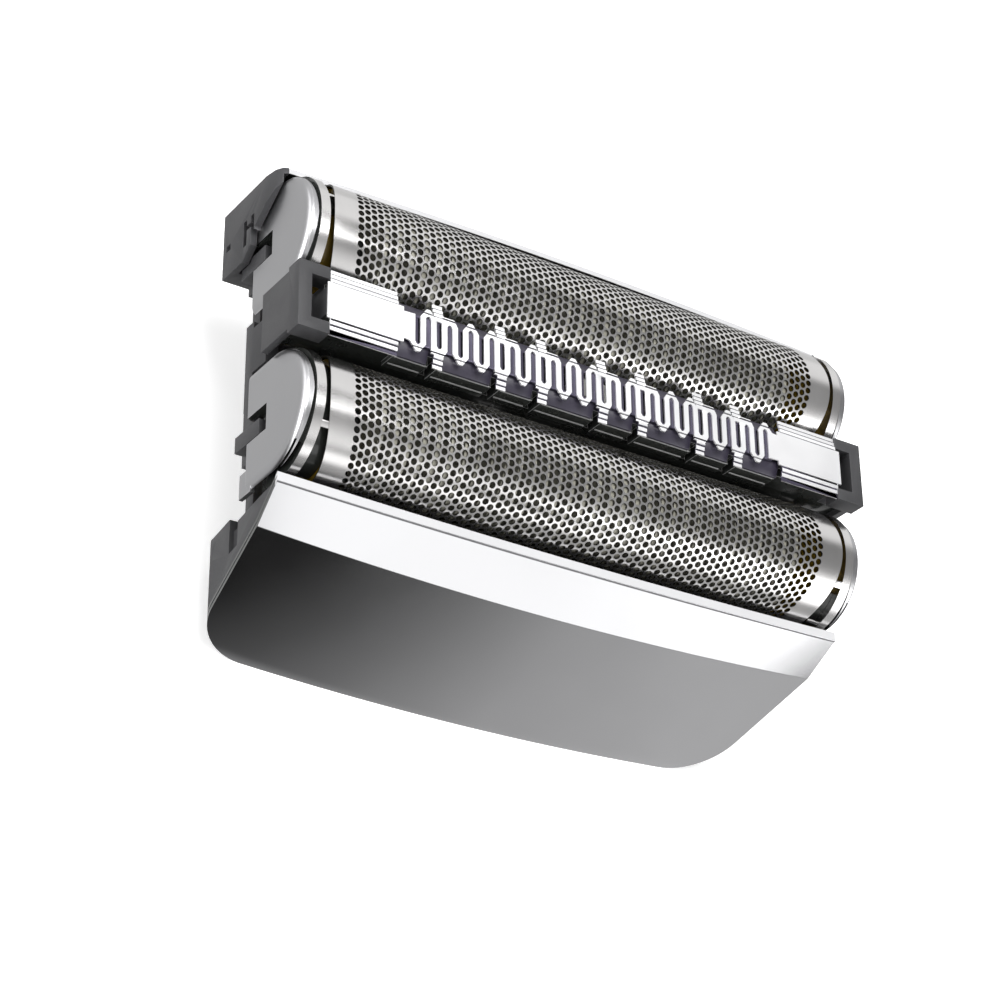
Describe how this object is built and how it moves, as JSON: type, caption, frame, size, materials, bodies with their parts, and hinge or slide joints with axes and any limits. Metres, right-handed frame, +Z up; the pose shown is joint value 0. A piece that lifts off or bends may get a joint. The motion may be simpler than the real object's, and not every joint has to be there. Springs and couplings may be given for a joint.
{
  "type": "shaver foil head",
  "caption": "Shaver head cassette: sprung foils over sliding cutters, a serpentine comb trimmer between them, silver covers and a drive collar below.",
  "frame": {"origin": "under the middle of the head's box, on the plane of the collar and the front cover's lower edge", "axes": "X along the foils, -Y towards the front with the silver panel, +Z up towards the skin"},
  "size_m": [0.0462, 0.0302, 0.0175],
  "materials": {
    "silver_lacquer": "satin silver lacquer over moulded plastic",
    "frame_plastic": "fine-textured dark grey moulding",
    "cap_silver": "satin silver coated plastic",
    "foil_steel": "thin electroformed foil, satin",
    "comb_steel": "bright stamped steel",
    "blade_steel": "ground steel",
    "coated_steel": "dark violet hard coating on thin steel",
    "spring_steel": "rolled spring strip",
    "amber_plastic": "amber tinted moulding",
    "violet_plastic": "dark violet moulding",
    "carrier_plastic": "green-black moulding",
    "slider_plastic": "pale low-friction moulding"
  },
  "bodies": {
    "cassette": {"cassette_frame": "frame_plastic", "front_cover": "silver_lacquer", "back_cover": "silver_lacquer", "drive_collar": "frame_plastic", "front_spring_left": "spring_steel", "front_spring_right": "spring_steel", "back_spring_left": "spring_steel", "back_spring_right": "spring_steel", "trimmer_spring_left": "spring_steel", "trimmer_spring_right": "spring_steel"},
    "front_foil_unit": {"front_foil": "foil_steel", "front_cap_left": "cap_silver", "front_cap_right": "cap_silver", "front_foil_frame": "amber_plastic"},
    "front_cutter": {"front_cutter_carrier": "slider_plastic", "front_cutter_blades": "blade_steel"},
    "back_foil_unit": {"back_foil": "foil_steel", "back_cap_left": "cap_silver", "back_cap_right": "cap_silver", "back_foil_frame": "amber_plastic"},
    "back_cutter": {"back_cutter_carrier": "slider_plastic", "back_cutter_blades": "blade_steel"},
    "trimmer": {"trimmer_comb": "comb_steel", "trimmer_bed": "violet_plastic", "trimmer_carrier": "carrier_plastic"},
    "trimmer_drive": {"trimmer_blade": "coated_steel", "trimmer_slider": "slider_plastic"}
  },
  "joints": [
    {"name": "front_foil_float", "type": "slide", "parent": "cassette", "child": "front_foil_unit", "axis": [0, 0, 1], "range_m": [-0.0009, 0], "stiffness_N_per_m": 1500, "springref_m": 0.002, "deforming": ["front_spring_left", "front_spring_right"]},
    {"name": "front_cutter_stroke", "type": "slide", "parent": "front_foil_unit", "child": "front_cutter", "axis": [1, 0, 0], "range_m": [-0.0012, 0.0012]},
    {"name": "back_foil_float", "type": "slide", "parent": "cassette", "child": "back_foil_unit", "axis": [0, 0, 1], "range_m": [-0.0009, 0], "stiffness_N_per_m": 1500, "springref_m": 0.002, "deforming": ["back_spring_left", "back_spring_right"]},
    {"name": "back_cutter_stroke", "type": "slide", "parent": "back_foil_unit", "child": "back_cutter", "axis": [1, 0, 0], "range_m": [-0.0012, 0.0012]},
    {"name": "trimmer_float", "type": "slide", "parent": "cassette", "child": "trimmer", "axis": [0, 0, 1], "range_m": [-0.0009, 0], "stiffness_N_per_m": 1200, "springref_m": 0.002, "deforming": ["trimmer_spring_left", "trimmer_spring_right"]},
    {"name": "trimmer_stroke", "type": "slide", "parent": "trimmer", "child": "trimmer_drive", "axis": [1, 0, 0], "range_m": [-0.0008, 0.0008]}
  ]
}
